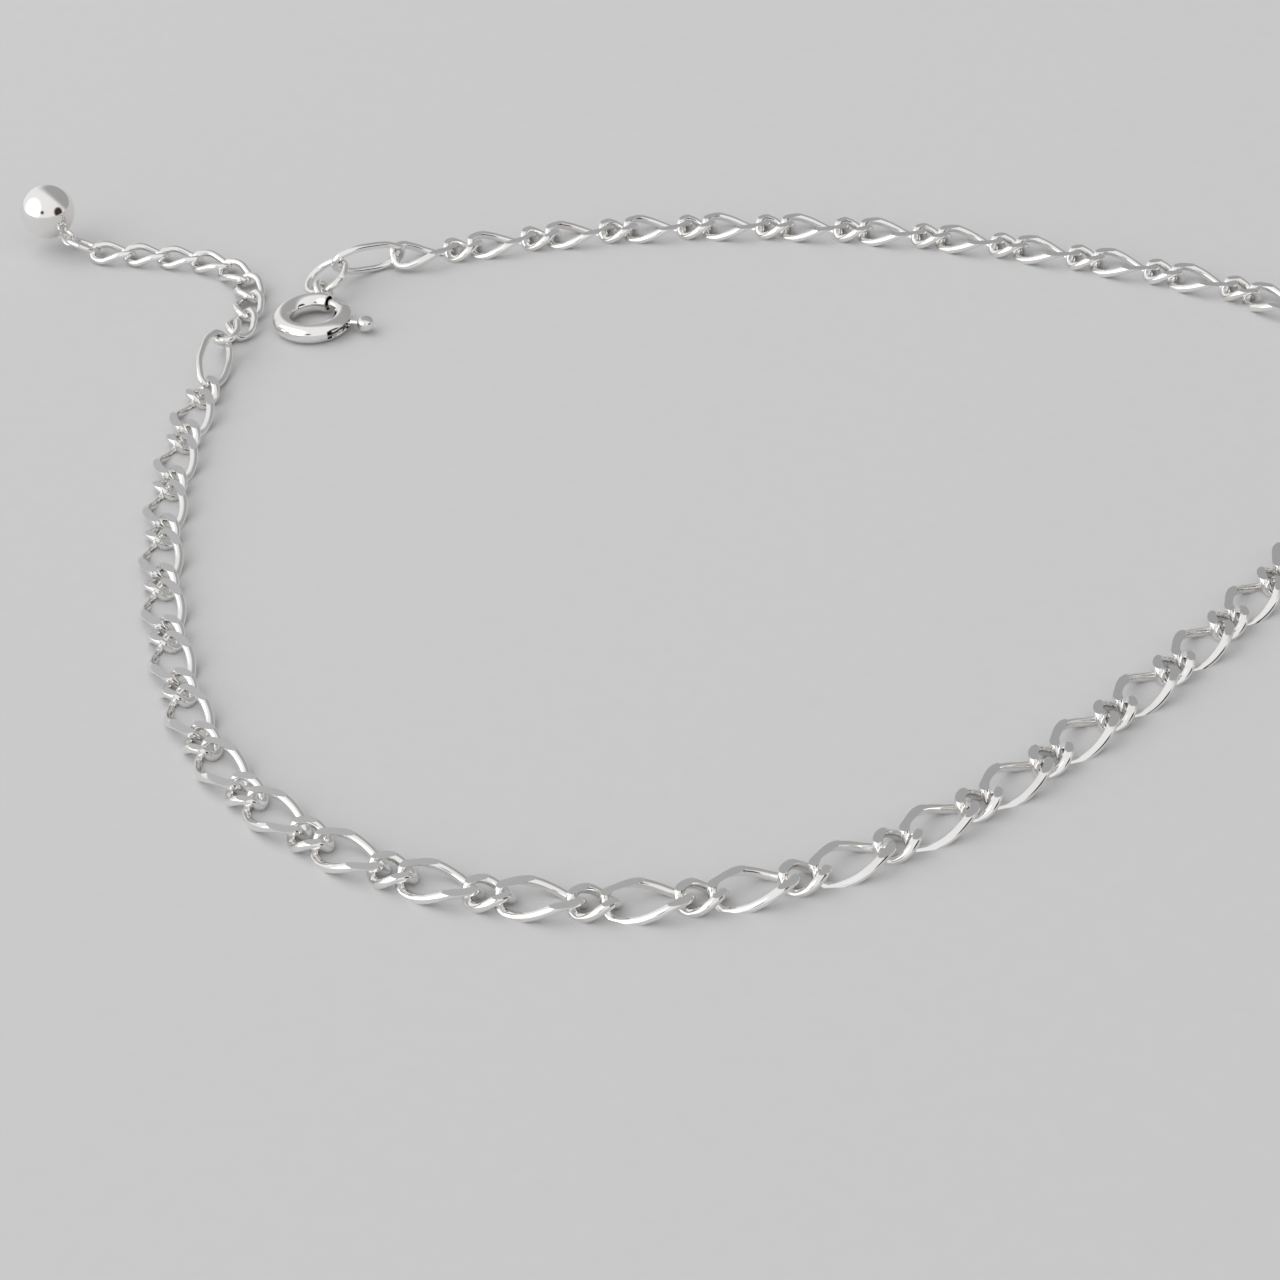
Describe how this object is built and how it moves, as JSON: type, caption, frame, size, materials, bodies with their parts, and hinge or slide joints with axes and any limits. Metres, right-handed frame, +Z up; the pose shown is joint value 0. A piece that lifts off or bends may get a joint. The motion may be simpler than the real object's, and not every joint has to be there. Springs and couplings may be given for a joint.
{
  "type": "chain anklet",
  "caption": "Silver anklet of long and short flattened curb links laid in a loop, with an open spring ring clasp, a short extender chain and a ball drop.",
  "frame": {"origin": "on the surface the anklet lies on, below the middle of its bounding box", "axes": "+Z up from the surface; +X to the right along the longer side of the loop, with the ends, clasp and extender at the left; +Y from the front of the loop towards its back"},
  "size_m": [0.0957, 0.083, 0.005],
  "materials": {
    "ground_silver": "sterling silver wire, polished, with the flats above and below ground to a satin grain",
    "polished_silver": "polished sterling silver"
  },
  "bodies": {
    "anklet": {"long_link_01": "ground_silver", "long_link_02": "ground_silver", "long_link_03": "ground_silver", "long_link_04": "ground_silver", "long_link_05": "ground_silver", "long_link_06": "ground_silver", "long_link_07": "ground_silver", "long_link_08": "ground_silver", "long_link_09": "ground_silver", "long_link_10": "ground_silver", "long_link_11": "ground_silver", "long_link_12": "ground_silver", "long_link_13": "ground_silver", "long_link_14": "ground_silver", "long_link_15": "ground_silver", "long_link_16": "ground_silver", "long_link_17": "ground_silver", "long_link_18": "ground_silver", "long_link_19": "ground_silver", "long_link_20": "ground_silver", "long_link_21": "ground_silver", "long_link_22": "ground_silver", "long_link_23": "ground_silver", "long_link_24": "ground_silver", "long_link_25": "ground_silver", "long_link_26": "ground_silver", "long_link_27": "ground_silver", "long_link_28": "ground_silver", "long_link_29": "ground_silver", "long_link_30": "ground_silver", "long_link_31": "ground_silver", "long_link_32": "ground_silver", "long_link_33": "ground_silver", "long_link_34": "ground_silver", "long_link_35": "ground_silver", "long_link_36": "ground_silver", "long_link_37": "ground_silver", "long_link_38": "ground_silver", "long_link_39": "ground_silver", "short_links": "ground_silver", "end_link_extender": "polished_silver", "end_link_clasp": "polished_silver", "extender_chain": "polished_silver", "drop_ring": "polished_silver", "ball_drop": "polished_silver", "clasp_jump_ring": "polished_silver", "clasp_body": "polished_silver"},
    "bolt": {"clasp_bolt": "polished_silver"}
  },
  "joints": [
    {"name": "trigger", "type": "hinge", "parent": "anklet", "child": "bolt", "pos_m": [-0.02554, 0.02539, 0.00076], "axis": [0, -0.0349, 0.9994], "range_deg": [-40, 0], "stiffness_Nm_per_rad": 0.001, "springref_deg": 9.74}
  ]
}
